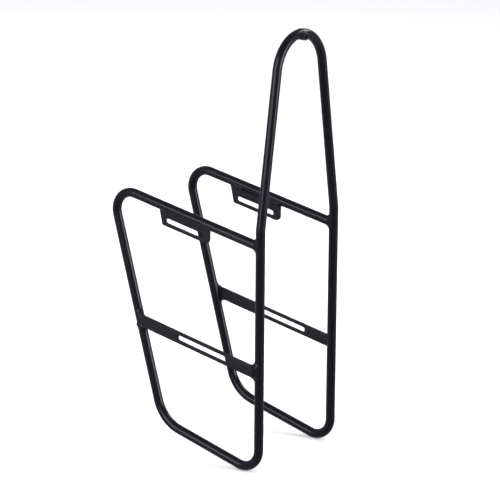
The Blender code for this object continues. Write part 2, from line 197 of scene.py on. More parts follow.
def globe_surface(name: str, grid: Array) -> Piece:
    """A piece like a globe: each row is a parallel, and the first and last rows are the poles.

    Args:
        name: The piece's name.
        grid: Points of shape (rows, columns, 3); a pole's points are all the same.

    Returns:
        The object.
    """
    rows, columns = grid.shape[:2]
    inner = grid[1:-1].reshape(-1, 3)
    points = np.vstack([inner, grid[0, 0], grid[-1, 0]])
    first_pole, last_pole = len(inner), len(inner) + 1
    faces = quads_of(rows - 2, columns, False, True).tolist()
    near = np.arange(columns)
    after = (near + 1) % columns
    far = (rows - 3) * columns
    faces += np.stack([near, np.full(columns, first_pole), after], axis=1).tolist()
    faces += np.stack([far + after, np.full(columns, last_pole), far + near], axis=1).tolist()
    return make_piece(name, points, faces, None)


# ---- signed distances
def round_bar(start: Array, end: Array, radius: float) -> Field:
    """A bar with ball ends: the distance to the nearest point of the line start-end, less radius."""
    run = end - start

    def distance(points: Array) -> Array:
        share = np.clip((points - start) @ run / (run @ run), 0, 1)
        return np.linalg.norm(points - start - share[..., None] * run, axis=-1) - radius

    return distance


def arc_bar(centre: Array, bend_radius: float, radius: float) -> Field:
    """A tube bent in a circle in the plane across the rack: the distance to the circle, less radius."""

    def distance(points: Array) -> Array:
        away = points - centre
        off_circle = np.hypot(away[..., 1], away[..., 2]) - bend_radius
        return np.hypot(off_circle, away[..., 0]) - radius

    return distance


def slab(centre: Array, axes: Array, half_sizes: Array, edge: float) -> Field:
    """A flat block with rounded edges: the distance to a block smaller by edge all round, less edge."""

    def distance(points: Array) -> Array:
        beyond = np.abs((points - centre) @ axes.T) - (half_sizes - edge)
        outside = np.linalg.norm(np.maximum(beyond, 0), axis=-1)
        return outside + np.minimum(beyond.max(-1), 0) - edge

    return distance


def soft_minimum(first: Array, second: Array, reach: Array) -> Array:
    """The lower of two distances, with a round transition where they differ by less than reach.

    With h = 1/2 + (second - first) / (2 reach), kept from 0 to 1, it is the mean of the two weighted
    by h, less reach h (1 - h). Between two surfaces that meet it leaves a fillet about reach in radius.
    """
    h = np.clip(0.5 + 0.5 * (second - first) / reach, 0, 1)
    return second + (first - second) * h - reach * h * (1 - h)


# ---- node helpers
def map_range(tree: Tree, value: Socket, source: Pair, target: Pair) -> Socket:
    """A node that carries a value from the source range to the target range and keeps it inside."""
    node = tree.nodes.new("ShaderNodeMapRange")
    for name, number in zip(("From Min", "From Max", "To Min", "To Max"), (*source, *target)):
        node.inputs[name].default_value = number
    tree.links.new(value, node.inputs["Value"])
    return node.outputs["Result"]


# ---- finishes
MIDDLE_OF_NOISE = (0.25, 0.75)  # nearly all of a noise's values lie here


@dataclass(frozen=True)
class PowderCoat:
    """A baked powder coat: fine grain on a slow orange peel, with roughness that varies a little.

    Scales are the size of a pattern's features and depths their height, in metres.
    """

    name: str
    slot: str
    colour: Triple
    colour_high: Triple
    roughness: float
    roughness_spread: float = 0.06
    gloss: float = 0.18
    sheen_tint: Triple = (0.90, 0.89, 1.0)
    peel_scale: float = 0.0022
    peel_depth: float = 0.000016
    grain_scale: float = 0.00028
    grain_depth: float = 0.000007
    mottle_scale: float = 0.018

    def noise(self, tree: Tree, place: Socket, size: float, detail: float) -> Socket:
        """A noise from 0 to 1 with features about size metres across, and octaves of finer noise."""
        node = tree.nodes.new("ShaderNodeTexNoise")
        node.inputs["Scale"].default_value = 1 / size
        node.inputs["Detail"].default_value = detail
        tree.links.new(place, node.inputs["Vector"])
        return node.outputs[0]

    def bump(self, tree: Tree, height: Socket, depth: float, before: Socket | None) -> Socket:
        """A bump of that depth laid on the normal before it, if there is one; returns the normal."""
        node = tree.nodes.new("ShaderNodeBump")
        node.inputs["Distance"].default_value = depth
        tree.links.new(height, node.inputs["Height"])
        if before is not None:
            tree.links.new(before, node.inputs["Normal"])
        return node.outputs["Normal"]

    def material(self) -> bpy.types.Material:
        """The coat as a node material on Object coordinates."""
        made = bpy.data.materials.new(self.name)
        made.use_nodes = True
        tree = made.node_tree
        shader = tree.nodes["Principled BSDF"]
        place = tree.nodes.new("ShaderNodeTexCoord").outputs["Object"]
        mottle = self.noise(tree, place, self.mottle_scale, 3.0)
        grain = self.noise(tree, place, self.grain_scale, 2.0)
        peel = self.noise(tree, place, self.peel_scale, 1.0)

        share = map_range(tree, mottle, MIDDLE_OF_NOISE, (0, 1))
        tint = tree.nodes.new("ShaderNodeMix")
        tint.data_type = "RGBA"
        tint.inputs[6].default_value = (*self.colour, 1)
        tint.inputs[7].default_value = (*self.colour_high, 1)
        tree.links.new(share, tint.inputs[0])
        tree.links.new(tint.outputs[2], shader.inputs["Base Color"])
        band = self.roughness - self.roughness_spread, self.roughness + self.roughness_spread
        roughness = map_range(tree, grain, MIDDLE_OF_NOISE, band)
        tree.links.new(roughness, shader.inputs["Roughness"])
        shader.inputs["Specular IOR Level"].default_value = self.gloss
        shader.inputs["Specular Tint"].default_value = (*self.sheen_tint, 1)
        normal = self.bump(tree, peel, self.peel_depth, None)
        normal = self.bump(tree, grain, self.grain_depth, normal)
        tree.links.new(normal, shader.inputs["Normal"])
        return made


TUBE_COAT = PowderCoat("satin_tube_coat", "tube_coat", (0.0044, 0.0042, 0.0066), (0.0060, 0.0057, 0.0088),
                       roughness=0.24)
PLATE_COAT = PowderCoat("matt_plate_coat", "plate_coat", (0.0060, 0.0060, 0.0084), (0.0082, 0.0081, 0.0112),
                        roughness=0.52, grain_depth=0.000012)
WELD_COAT = replace(TUBE_COAT, name="satin_weld_coat", slot="weld_coat", roughness=0.25, peel_depth=0.000024)
# The boss's coat is about 2.4 times lighter than the tubes' coat: painted highlight. The real boss wears the
# same dark coat as the tubes.
BOSS_COAT_WITH_PAINTED_HIGHLIGHT = PowderCoat("satin_boss_coat", "boss_coat", (0.0105, 0.0102, 0.0145), (0.0150, 0.0145, 0.0200),
                       roughness=0.36)


@dataclass
class Workshop:
    """Dresses finished pieces, says what they stand for, and counts them."""

    coats: dict[str, bpy.types.Material] = field(default_factory=dict)
    count: int = 0

    def finish(self, piece: Piece, coat: PowderCoat, *nodes: str) -> Piece:
        """Give a piece its coat, put it on the rack's body and report it.

        Args:
            piece: The new piece.
            coat: Its finish.
            nodes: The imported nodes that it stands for.

        Returns:
            The piece.
        """
        if coat.name not in self.coats:
            self.coats[coat.name] = coat.material()
        piece.data.materials.append(self.coats[coat.name])
        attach(piece, "root")
        if nodes:
            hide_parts(*nodes)
        self.count += 1
        log.info("%s: %d faces, for %s", piece.name, len(piece.data.polygons), ", ".join(nodes) or "no node")
        return piece


# ---- the rack's layout
@dataclass(frozen=True)
class Layout:
    """Sizes shared by all sub-assemblies. Lengths are metres, angles radians.

    half_spacing, leg_x and apex_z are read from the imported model; the rest are the design's own.
    plate_proud is how far a lower plate stands out from its tubes, and boss_drop how far the boss hangs
    below the arch's axis.
    """

    half_spacing: float
    leg_x: float
    apex_z: float
    tube_radius: float = 0.005
    tube_wall: float = 0.0015
    plate_thickness: float = 0.003
    plate_proud: float = 0.0007
    boss_drop: float = 0.0026
    rise: float = math.radians(10.8)
    base_rise: float = math.radians(14.5)
    rear_lean: float = math.radians(15.7)
    arch_lean: float = math.radians(9.0)
    rail_above_slots: float = 0.1358
    foot_below_slots: float = 0.1133
    knee_above_rail: float = 0.0177
    rear_foot: float = 0.1201
    arch_bend: float = 0.0403

    @classmethod
    def from_frame(cls) -> Layout:
        """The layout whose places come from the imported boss, plates and tubes."""
        plate_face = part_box("lower_plate_left")[1].y
        boss_low, boss_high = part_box("apex_boss")
        return cls(half_spacing=plate_face - cls.plate_proud - cls.tube_radius,
                   leg_x=(boss_low.x + boss_high.x) / 2,
                   apex_z=(boss_low.z + boss_high.z) / 2 + cls.boss_drop)

    @property
    def slots_at_leg(self) -> float:
        """Height of the lower plate's centreline where it would cross the front leg's axis."""
        return -self.leg_x * math.tan(self.rise)

    @property
    def rail_z(self) -> float:
        """Height of the rail's axis at the front leg."""
        return self.slots_at_leg + self.rail_above_slots

    @property
    def foot_z(self) -> float:
        """Height of the foot, where the leg's and the base's axes meet."""
        return self.slots_at_leg - self.foot_below_slots

    @property
    def along_rail(self) -> Array:
        """Direction of the rail and the plates, rearwards."""
        return np.array([-math.cos(self.rise), 0.0, math.sin(self.rise)])

    @property
    def square_to_rail(self) -> Array:
        """Direction square to the rail, upwards."""
        return np.array([math.sin(self.rise), 0.0, math.cos(self.rise)])

    @property
    def up_rear_leg(self) -> Array:
        """Direction of the rear leg, upwards."""
        return np.array([-math.sin(self.rear_lean), 0.0, math.cos(self.rear_lean)])

    def rear_leg_foot(self, across: float) -> Array:
        """The rear leg's axis at the foot's height."""
        return np.array([self.leg_x - self.rear_foot, across, self.foot_z])

    def meet(self, start: Array, way: Array, other: Array, other_way: Array) -> Array:
        """Where two lines in one side frame cross, each given by a point on it and its direction."""
        apart = other - start
        turn = apart[0] * other_way[2] - apart[2] * other_way[0]
        return start + way * turn / (way[0] * other_way[2] - way[2] * other_way[0])


# ---- bent tubes
@dataclass
class BentTube:
    """One side's tube: rail, rear leg, base, front leg and its half of the arch, in one piece."""

    layout: Layout
    side: Side
    tight_bend: float = 0.021
    wide_bend: float = 0.040
    knee_bend: float = 0.018
    bend_step: float = math.radians(3.0)
    sides: int = 72
    vent_radius: float = 0.0013
    vent_behind_leg: float = 0.0185
    vent_zone: float = 2.5
    vent_rings: int = 21
    drill_sides: int = 32

    def corners(self) -> tuple[Array, list[float]]:
        """Corner points of the axis and the bend radius at each inner one."""
        lay = self.layout
        across = self.side.value * lay.half_spacing
        foot = np.array([lay.leg_x, across, lay.foot_z])
        rail = np.array([lay.leg_x, across, lay.rail_z])
        base_way = np.array([-math.cos(lay.base_rise), 0.0, math.sin(lay.base_rise)])
        rear_foot = lay.rear_leg_foot(across)
        top_rear = lay.meet(rail, lay.along_rail, rear_foot, lay.up_rear_leg)
        low_rear = lay.meet(foot, base_way, rear_foot, lay.up_rear_leg)
        knee = rail + UP * lay.knee_above_rail
        limb_height = lay.half_spacing / math.tan(lay.arch_lean)
        crown = np.array([lay.leg_x, 0.0, knee[2] + limb_height])
        far_knee = knee * np.array([1, -1, 1])
        points = np.array([rail, top_rear, low_rear, foot, knee, crown, far_knee])
        return points, [self.tight_bend, self.wide_bend, self.tight_bend, self.knee_bend, lay.arch_bend]

    def axis(self) -> tuple[Array, Array]:
        """Points and directions along the axis, from the rail's front end to the top of the arch.

        Each bend is an arc: its centre plus radius times (-cos t outwards + sin t forwards) as t goes
        from 0 to the bend's turn. Straight runs need no points of their own but round the vent hole.
        """
        corners, radii = self.corners()
        ways = unit(np.diff(corners, axis=0))
        zone = np.linspace(-self.vent_zone, self.vent_zone, self.vent_rings)
        near_vent = self.vent_behind_leg + zone * self.vent_radius
        points, tangents = [corners[:1]], [ways[:1]]
        points.append(corners[0] + near_vent[:, None] / math.cos(self.layout.rise) * ways[0])
        tangents.append(np.repeat(ways[:1], len(near_vent), axis=0))
        for corner, way, next_way, radius in zip(corners[1:], ways, ways[1:], radii):
            turn = math.acos(float(way @ next_way))
            inward = unit(next_way - (next_way @ way) * way)
            start = corner - way * radius * math.tan(turn / 2)
            t = np.linspace(0, turn, 2 * math.ceil(turn / self.bend_step / 2) + 1)[:, None]
            points.append(start + radius * ((1 - np.cos(t)) * inward + np.sin(t) * way))
            tangents.append(np.cos(t) * way + np.sin(t) * inward)
        half_crown = len(points[-1]) // 2 + 1
        points[-1], tangents[-1] = points[-1][:half_crown], tangents[-1][:half_crown]
        return np.vstack(points), np.vstack(tangents)

    def rings(self, radius: float) -> Array:
        """Circles round the axis: C(s) + radius (cos a N(s) + sin a B(s)).

        B is the direction across the rack in the side frame and square to the arch's plane above it,
        so the surface doesn't twist. The rail's end is coped to the leg: each point slides along the
        rail until its distance from the leg's axis is the tube's radius. The arch ends at the middle.
        """
        lay = self.layout
        centre, way = self.axis()
        in_arch = np.abs(way[:, 1:2]) > NEARLY_ZERO
        first = np.where(in_arch, FORWARD, unit(np.cross(ACROSS, way)))
        second = np.where(in_arch, np.cross(way, FORWARD), ACROSS)
        angle = full_turn(self.sides)[None, :, None]
        grid = centre[:, None] + radius * (np.cos(angle) * first[:, None] + np.sin(angle) * second[:, None])
        aside = grid[0, :, 1] - centre[0, 1]
        saddle_x = lay.leg_x - np.sqrt(np.maximum(lay.tube_radius ** 2 - aside ** 2, 0))
        grid[0] += ((saddle_x - grid[0, :, 0]) / way[0, 0])[:, None] * way[0]
        grid[-1, :, 1] = 0.0
        return grid

    def build(self, shop: Workshop) -> None:
        """Make the tube with its bore, and cut the vent hole through its inner wall."""
        lay = self.layout
        outer = self.rings(lay.tube_radius)
        bore = self.rings(lay.tube_radius - lay.tube_wall)
        grid = np.concatenate([outer, bore[::-1]])
        tube = ring_surface("bent_tube_" + self.side.label, grid, sharp_deg=40.0)
        self.cut_vent(tube)
        shop.finish(tube, TUBE_COAT, "side_tube_" + self.side.label)

    def cut_vent(self, tube: Piece) -> None:
        """Bore the small hole that lets the coating oven's air out of the rail."""
        lay = self.layout
        angle = full_turn(self.drill_sides)[:, None]
        circle = self.vent_radius * (np.cos(angle) * lay.along_rail + np.sin(angle) * lay.square_to_rail)
        across = self.side.value * lay.half_spacing
        start = np.array([lay.leg_x - self.vent_behind_leg, across,
                          lay.rail_z + self.vent_behind_leg * math.tan(lay.rise)])
        end = start - self.side.value * 2 * lay.tube_radius * ACROSS
        points = np.vstack([start + circle, end + circle])
        count = len(circle)
        faces = quads_of(2, count, False, True).tolist()
        faces += [list(range(count))[::-1], list(range(count, 2 * count))]
        drill = make_piece("vent_drill", points, faces, None)
        modifier = tube.modifiers.new("vent", "BOOLEAN")
        modifier.operation = "DIFFERENCE"
        modifier.solver = "EXACT"
        modifier.object = drill
        evaluated = tube.evaluated_get(bpy.context.evaluated_depsgraph_get())
        tube_mesh = bpy.data.meshes.new_from_object(evaluated)
        tube.modifiers.remove(modifier)
        tube.data = tube_mesh
        tube.data.materials.clear()
        bpy.data.objects.remove(drill)


# ---- slotted plates
@dataclass
class SlottedPlate:
    """A flat plate with one round-ended slot, cut by laser and deburred before it was coated."""

    layout: Layout
    side: Side
    name: str
    node: str
    slot_centre: Array
    slot_length: float
    slot_width: float
    outline: Array
    edge_radius: float = 0.00035
    end_steps: int = 40
    straight_steps: int = 36
    edge_steps: int = 5
    parallel: float = 1e-12
    slack: float = 1e-6

    def slot_loop(self) -> tuple[Array, Array]:
        """Points round the slot and their directions away from it, in plate coordinates.

        Plate coordinates are (rearwards along the rail, square to it). The slot is two half circles
        joined by straight lines, and its direction away is square to its edge.
        """
        radius, reach = self.slot_width / 2, (self.slot_length - self.slot_width) / 2
        turn = np.linspace(-math.pi / 2, math.pi / 2, self.end_steps)
        run = np.linspace(-reach, reach, self.straight_steps + 2)[1:-1]
        angle = np.concatenate([turn, np.full(len(run), math.pi / 2), turn + math.pi,
                                np.full(len(run), -math.pi / 2)])
        middle = np.concatenate([np.full(len(turn), reach), run[::-1], np.full(len(turn), -reach), run])
        away = np.stack([np.cos(angle), np.sin(angle)], axis=1)
        return radius * away + np.stack([middle, np.zeros_like(middle)], axis=1), away

    def reach_outline(self, start: Array, away: Array) -> Array:
        """The outline as the slot sees it: each point goes on its way until it meets the outline.

        A ray p + t w meets an edge a + u e where u is from 0 to 1, and the nearest such t > 0 counts.
        """
        edge_start, edge = self.outline, np.roll(self.outline, -1, axis=0) - self.outline
        gap = edge_start[None] - start[:, None]
        crossed = away[:, None, 0] * edge[None, :, 1] - away[:, None, 1] * edge[None, :, 0]
        crossed = np.where(np.abs(crossed) < self.parallel, np.nan, crossed)
        t = (gap[..., 0] * edge[None, :, 1] - gap[..., 1] * edge[None, :, 0]) / crossed
        u = (gap[..., 0] * away[:, None, 1] - gap[..., 1] * away[:, None, 0]) / crossed
        t = np.where((t > 0) & (u > -self.slack) & (u < 1 + self.slack), t, np.nan)
        return start + np.nanmin(t, axis=1)[:, None] * away

    def build(self, shop: Workshop) -> None:
        """Make the plate: its section, a rounded rectangle, is carried round between slot and outline.

        At each place round the slot the section's point is S + k (O - S) / |O - S| in the plate's
        plane, where k runs from the slot to the outline, and its depth goes through the thickness.
        """
        inner, away = self.slot_loop()
        outer = self.reach_outline(inner, away)
        width = np.linalg.norm(outer - inner, axis=1)[:, None]
        way = (outer - inner) / width
        turn = np.linspace(0, math.pi / 2, self.edge_steps)
        r, half = self.edge_radius, self.layout.plate_thickness / 2
        rise_in, drop_in = r * (1 - np.cos(turn)), half - r + r * np.sin(turn)
        from_slot = np.concatenate([rise_in, rise_in[::-1]])
        depth = np.concatenate([drop_in, -drop_in[::-1]])
        far = np.concatenate([width - rise_in[::-1], width - rise_in], axis=1)
        near = np.broadcast_to(from_slot[None], (len(inner), len(from_slot)))
        along_section = np.concatenate([near[:, :self.edge_steps], far, near[:, self.edge_steps:]], axis=1)
        across_section = np.concatenate([depth[:self.edge_steps], drop_in[::-1], -drop_in,
                                         depth[self.edge_steps:]])
        flat = inner[:, None] + along_section[..., None] * way[:, None]
        grid = (self.slot_centre + flat[..., :1] * self.layout.along_rail
                + flat[..., 1:] * self.layout.square_to_rail + across_section[None, :, None] * ACROSS)
        shop.finish(ring_surface(self.name, grid, sharp_deg=30.0), PLATE_COAT, self.node)


def rounded_corner(before: Array, corner: Array, after: Array, radius: float, steps: int = 12) -> Array:
    """An arc that rounds a corner of an outline.

    Args:
        before: The corner before it.
        corner: The corner.
        after: The corner after it.
        radius: Radius of the arc.
        steps: Points on the arc.

    Returns:
        Points of the arc, which touches both edges.
    """
    ways = unit(np.array([before - corner, after - corner]))
    half = math.acos(float(ways[0] @ ways[1])) / 2
    middle = unit(ways.sum(0))
    centre = corner + middle * radius / math.sin(half)
    square = unit(ways[1] - (ways[1] @ middle) * middle)
    swing = np.linspace(-1, 1, steps)[:, None] * (math.pi / 2 - half)
    return centre - radius * (np.cos(swing) * middle - np.sin(swing) * square)


# ---- welds
NO_SEAM = np.array([0.31, 0.27, 0.91])  # a direction that no weld runs in


@dataclass
class Weld:
    """Weld metal that melts neighbouring pieces together, with the ripples of its bead.

    Its surface is where the soft minimum of the distances to those pieces is zero. It is found on rays
    that leave a short core line, and where there is no weld it lies just under the pieces' skins.
    """

    name: str
    node: str
    parts: list[Field]
    reach: Field
    core: Array
    run: Array
    half_run: float
    low: Array
    high: Array
    travel: Field
    bead: Field | None = None
    bead_reach: float = 0.0014
    ripple_pitch: float = 0.0016
    ripple_height: float = 0.00010
    sink: float = 0.00005
    rows: int = 84
    columns: int = 96
    march_steps: int = 72
    halvings: int = 12

    def distance(self, points: Array) -> Array:
        """Signed distance to the weld's surface, less than zero in the metal.

        Where the soft minimum lies below the hard one, by reach / 4 at most, there is weld metal. Its
        ripples follow cos(2 pi travel / pitch). The body is kept inside its box.
        """
        reach = self.reach(points)
        hard = soft = self.parts[0](points)
        for part in self.parts[1:]:
            distance = part(points)
            soft = soft_minimum(soft, distance, reach)
            hard = np.minimum(hard, distance)
        fullness = np.clip((hard - soft) / (reach / 4), 0, 1)
        if self.bead is not None:
            run = self.bead(points)
            on_bead = np.clip(0.5 + (soft - run) / self.bead_reach, 0, 1)
            soft = soft_minimum(soft, run, np.full_like(soft, self.bead_reach))
            fullness = np.maximum(fullness, on_bead)
        ripple = self.ripple_height * fullness * np.cos(2 * math.pi * self.travel(points) / self.ripple_pitch)
        beyond_box = np.maximum(self.low - points, points - self.high).max(-1)
        return np.maximum(soft + self.sink - ripple, beyond_box)

    def surface(self) -> Array:
        """Points where rays from the core line leave the metal, in rows from pole to pole.

        A ray at latitude b and longitude a starts at core + half_run sin(b) run and goes along
        sin(b) run + cos(b) (cos(a) p + sin(a) q). It is marched outwards until the distance turns
        positive, and the crossing is then halved down to a fraction of a micron.
        """
        p = unit(np.cross(self.run, NO_SEAM))
        q = np.cross(self.run, p)
        b = np.linspace(-math.pi / 2, math.pi / 2, self.rows)[:, None, None]
        a = full_turn(self.columns)[None, :, None]
        start = self.core + self.half_run * np.sin(b) * self.run + 0 * a
        way = np.sin(b) * self.run + np.cos(b) * (np.cos(a) * p + np.sin(a) * q)
        far = float(np.linalg.norm(self.high - self.low))
        marks = np.linspace(0, far, self.march_steps)
        outside = self.distance(start[:, :, None] + marks[:, None] * way[:, :, None]) > 0
        first = np.maximum(outside.argmax(axis=-1), 1)
        low, high = marks[first - 1], marks[first]
        for _ in range(self.halvings):
            middle = (low + high) / 2
            out = self.distance(start + middle[..., None] * way) > 0
            low, high = np.where(out, low, middle), np.where(out, middle, high)
        return start + low[..., None] * way

    def build(self, shop: Workshop) -> None:
        """Make the weld."""
        shop.finish(globe_surface(self.name, self.surface()), WELD_COAT, self.node)


def even(size: float) -> Field:
    """A size that is the same everywhere."""
    return lambda points: np.full(points.shape[:-1], size)


@dataclass
class SideFrame:
    """One side of the rack: tube, plates and the welds between them."""

    layout: Layout
    side: Side
    lower_depth: float = 0.0128
    lower_slot: Pair = (0.0678, 0.0059)
    upper_slot: Pair = (0.0508, 0.0057)
    upper_slot_behind_leg: float = 0.1021
    upper_slot_roof: float = 0.0072
    upper_slot_lip: float = 0.0034
    upper_front_tab: float = 0.0088
    upper_rear_slant: float = 0.0075
    upper_corner: float = 0.0050
    upper_rear_corner: float = 0.0026
    upper_recess: float = 0.0005
    upper_tuck: float = 0.0011
    rail_slit: float = 0.0005
    plate_end_gap: float = 0.0018

    @property
    def across(self) -> float:
        """Where the tube's axis lies across the rack."""
        return self.side.value * self.layout.half_spacing

    @property
    def outward(self) -> Array:
        """Direction away from the wheel."""
        return self.side.value * ACROSS

    def lower_plate_middle(self) -> Array:
        """Middle of the lower plate's slot."""
        lay = self.layout
        out = lay.half_spacing + lay.tube_radius + lay.plate_proud - lay.plate_thickness / 2
        return out * self.outward

    def upper_plate_middle(self) -> Array:
        """Middle of the upper plate's slot."""
        lay = self.layout
        drop = lay.tube_radius + self.rail_slit + self.upper_slot_roof + self.upper_slot[1] / 2
        out = lay.half_spacing - lay.tube_radius + self.upper_recess + lay.plate_thickness / 2
        x = lay.leg_x - self.upper_slot_behind_leg
        z = lay.rail_z + self.upper_slot_behind_leg * math.tan(lay.rise) - drop / math.cos(lay.rise)
        return np.array([x, self.side.value * out, z])

    def in_plate(self, point: Array, middle: Array) -> Array:
        """A point's place along and square to the rail, measured from a plate's middle."""
        away = point - middle
        return np.array([away @ self.layout.along_rail, away @ self.layout.square_to_rail])

    def lower_outline(self) -> Array:
        """Outline of the lower plate, which ends a weld's gap short of each leg."""
        lay = self.layout
        middle = self.lower_plate_middle()
        half = self.lower_depth / 2
        gap = lay.tube_radius + self.plate_end_gap
        front = np.array([lay.leg_x - gap, middle[1], 0.0])
        rear_foot = lay.rear_leg_foot(middle[1])
        rear_foot = rear_foot + gap * np.array([math.cos(lay.rear_lean), 0.0, math.sin(lay.rear_lean)])
        ends = []
        for height in (-half, half):
            edge = middle + height * lay.square_to_rail
            for point, way in ((front, UP), (rear_foot, lay.up_rear_leg)):
                ends.append(self.in_plate(lay.meet(edge, lay.along_rail, point, way), middle))
        return np.array([ends[0], ends[1], ends[3], ends[2]])

    def upper_outline(self) -> Array:
        """Outline of the upper plate: upright front end, slanting rear end, round lower corners."""
        lay = self.layout
        roof = self.upper_slot[1] / 2 + self.upper_slot_roof + self.upper_tuck
        floor = -self.upper_slot[1] / 2 - self.upper_slot_lip
        half_slot = self.upper_slot[0] / 2
        front = -half_slot - self.upper_front_tab
        lean = math.tan(lay.rise)
        rear = half_slot + self.upper_slot_lip
        low_front = np.array([front + floor * lean, floor])
        high_front = np.array([front + roof * lean, roof])
        low_rear, high_rear = np.array([rear, floor]), np.array([rear + self.upper_rear_slant, roof])
        return np.vstack([rounded_corner(high_front, low_front, low_rear, self.upper_corner),
                          rounded_corner(low_front, low_rear, high_rear, self.upper_rear_corner),
                          high_rear, high_front])

    def build(self, shop: Workshop) -> None:
        """Make the tube, both plates and all welds of this side."""
        BentTube(self.layout, self.side).build(shop)
        label = self.side.label
        plates = {"lower": (self.lower_plate_middle(), *self.lower_slot, self.lower_outline()),
                  "upper": (self.upper_plate_middle(), *self.upper_slot, self.upper_outline())}
        for level, sizes in plates.items():
            names = f"{level}_slotted_plate_{label}", f"{level}_plate_{label}"
            SlottedPlate(self.layout, self.side, *names, *sizes).build(shop)
        self.rail_weld().build(shop)
        for end in End:
            self.lower_weld(end).build(shop)
            self.upper_weld(end).build(shop)

    def rail_weld(self) -> Weld:
        """The weld round the rail's coped end, full in the corners and thin at the tube's sides."""
        lay = self.layout
        radius = lay.tube_radius
        corner_reach, side_reach, stub = 0.0064, 0.0024, 0.04
        room, room_before_leg = np.array([0.0165, 0.0075, 0.017]), 0.001
        joint = np.array([lay.leg_x, self.across, lay.rail_z])
        leg = round_bar(joint - stub * UP, joint + stub * UP, radius)
        start = joint + lay.along_rail * radius
        rail = round_bar(start, start + stub * lay.along_rail, radius)

        def reach(points: Array) -> Array:
            aside = np.clip(np.abs(points[..., 1] - self.across) / radius, 0, 1)
            return corner_reach + (side_reach - corner_reach) * aside ** 2

        def travel(points: Array) -> Array:
            away = points - start
            return radius * np.arctan2(away[..., 1], away @ lay.square_to_rail)

        return Weld("rail_end_weld_" + self.side.label, "rail_weld_" + self.side.label, [leg, rail], reach,
                    start, lay.along_rail, 0.0, joint - room,
                    joint + np.array([room_before_leg, *room[1:]]), travel)

    def lower_weld(self, end: End) -> Weld:
        """The weld between an end of the lower plate and its leg, with a bead down the outer face."""
        lay = self.layout
        radius = lay.tube_radius
        stub, plate_gap, plate_edge, core_gap, half_run = 0.03, 0.0012, 0.0004, 0.0004, 0.0045
        bead_radius, bead_inset, bead_top_inset, bead_foot_inset = 0.0011, 0.0006, 0.0012, 0.0036
        edge_reach, face_reach, edge_from, edge_over = 0.0062, 0.0017, 0.6, 0.5
        room = np.array([0.010, 0.006, 0.016])
        middle = self.lower_plate_middle()
        way, leg_point, leg_way = {
            End.FRONT: (lay.along_rail, np.array([lay.leg_x, 0.0, 0.0]), UP),
            End.REAR: (-lay.along_rail, lay.rear_leg_foot(0.0), lay.up_rear_leg)}[end]
        crossing = lay.meet(middle, lay.along_rail, leg_point, leg_way)
        on_axis = crossing * np.array([1, 0, 1]) + self.across * ACROSS
        leg = round_bar(on_axis - stub * leg_way, on_axis + stub * leg_way, radius)
        half_plate = np.array([0.012, lay.plate_thickness / 2, self.lower_depth / 2])
        axes = np.array([lay.along_rail, ACROSS, lay.square_to_rail])
        plate = slab(crossing + way * (half_plate[0] + plate_gap), axes, half_plate, plate_edge)
        seam = crossing + way * (radius + bead_inset) + self.outward * (half_plate[1] - bead_inset)
        bead_top, bead_foot = half_plate[2] - bead_top_inset, half_plate[2] - bead_foot_inset
        bead = round_bar(seam - bead_foot * leg_way, seam + bead_top * leg_way, bead_radius)

        def reach(points: Array) -> Array:
            height = np.abs((points - middle) @ lay.square_to_rail)
            share = np.clip((height - edge_from * half_plate[2]) / (edge_over * half_plate[2]), 0, 1)
            return face_reach + (edge_reach - face_reach) * share * share * (3 - 2 * share)

        core = crossing + way * (radius + core_gap)
        return Weld(f"lower_{end.label}_weld_{self.side.label}", f"lower_weld_{end.label}_{self.side.label}",
                    [leg, plate], reach, core, leg_way, half_run, core - room, core + room,
                    lambda points: points @ leg_way, bead)

    def upper_weld(self, end: End) -> Weld:
        """A bead in the corner between the upper plate's inner face and the rail, flush with its end."""
        lay = self.layout
        radius = lay.tube_radius
        reach, bead_radius, bead_sink, plate_skirt, rail_length = 0.0016, 0.0017, 0.0002, 0.004, 0.16
        start_inset, core_inset, margin, rows = 1.1 * bead_radius, 1.4 * bead_radius, 0.004, 110
        middle = self.upper_plate_middle()
        high_rear, high_front = self.upper_outline()[-2:]
        plate_height = self.upper_slot[1] + self.upper_slot_lip + self.upper_slot_roof + self.upper_tuck
        length, corner, way, end_lean = {
            End.FRONT: (0.0190, high_front, lay.along_rail, 0.0),
            End.REAR: (0.0170, high_rear, -lay.along_rail, self.upper_rear_slant / plate_height)}[end]
        edge = middle + corner[0] * lay.along_rail + corner[1] * lay.square_to_rail
        inset = radius - self.upper_recess
        face = self.across - inset * self.outward[1]
        edge = edge * np.array([1, 0, 1]) + face * ACROSS
        rail_drop = math.sqrt(radius ** 2 - inset ** 2)
        to_rail = radius + self.rail_slit - self.upper_tuck - rail_drop
        seam = edge + to_rail / 2 * lay.square_to_rail - bead_sink * self.outward
        bead = round_bar(seam + way * start_inset, seam + way * (length - bead_radius), bead_radius)
        on_axis = np.array([lay.leg_x, self.across, lay.rail_z])
        rail = round_bar(on_axis, on_axis + rail_length * lay.along_rail, radius)
        square_to_end = unit(way + end_lean * lay.square_to_rail)

        def plate(points: Array) -> Array:
            away = points - edge
            inside_faces = np.abs((points - middle) @ ACROSS) - lay.plate_thickness / 2
            below_top = away @ lay.square_to_rail
            past_end = -(away @ square_to_end)
            above_skirt = -plate_skirt - below_top
            return np.maximum(np.maximum(inside_faces, below_top), np.maximum(past_end, above_skirt))

        core = seam + way * length / 2
        room = np.array([length / 2 + margin, 0.0045, 0.0075])
        return Weld(f"upper_{end.label}_weld_{self.side.label}", f"upper_weld_{end.label}_{self.side.label}",
                    [rail, plate], even(reach), core, way, length / 2 - core_inset,
                    core - room, core + room, lambda points: points @ way, bead, rows=rows)


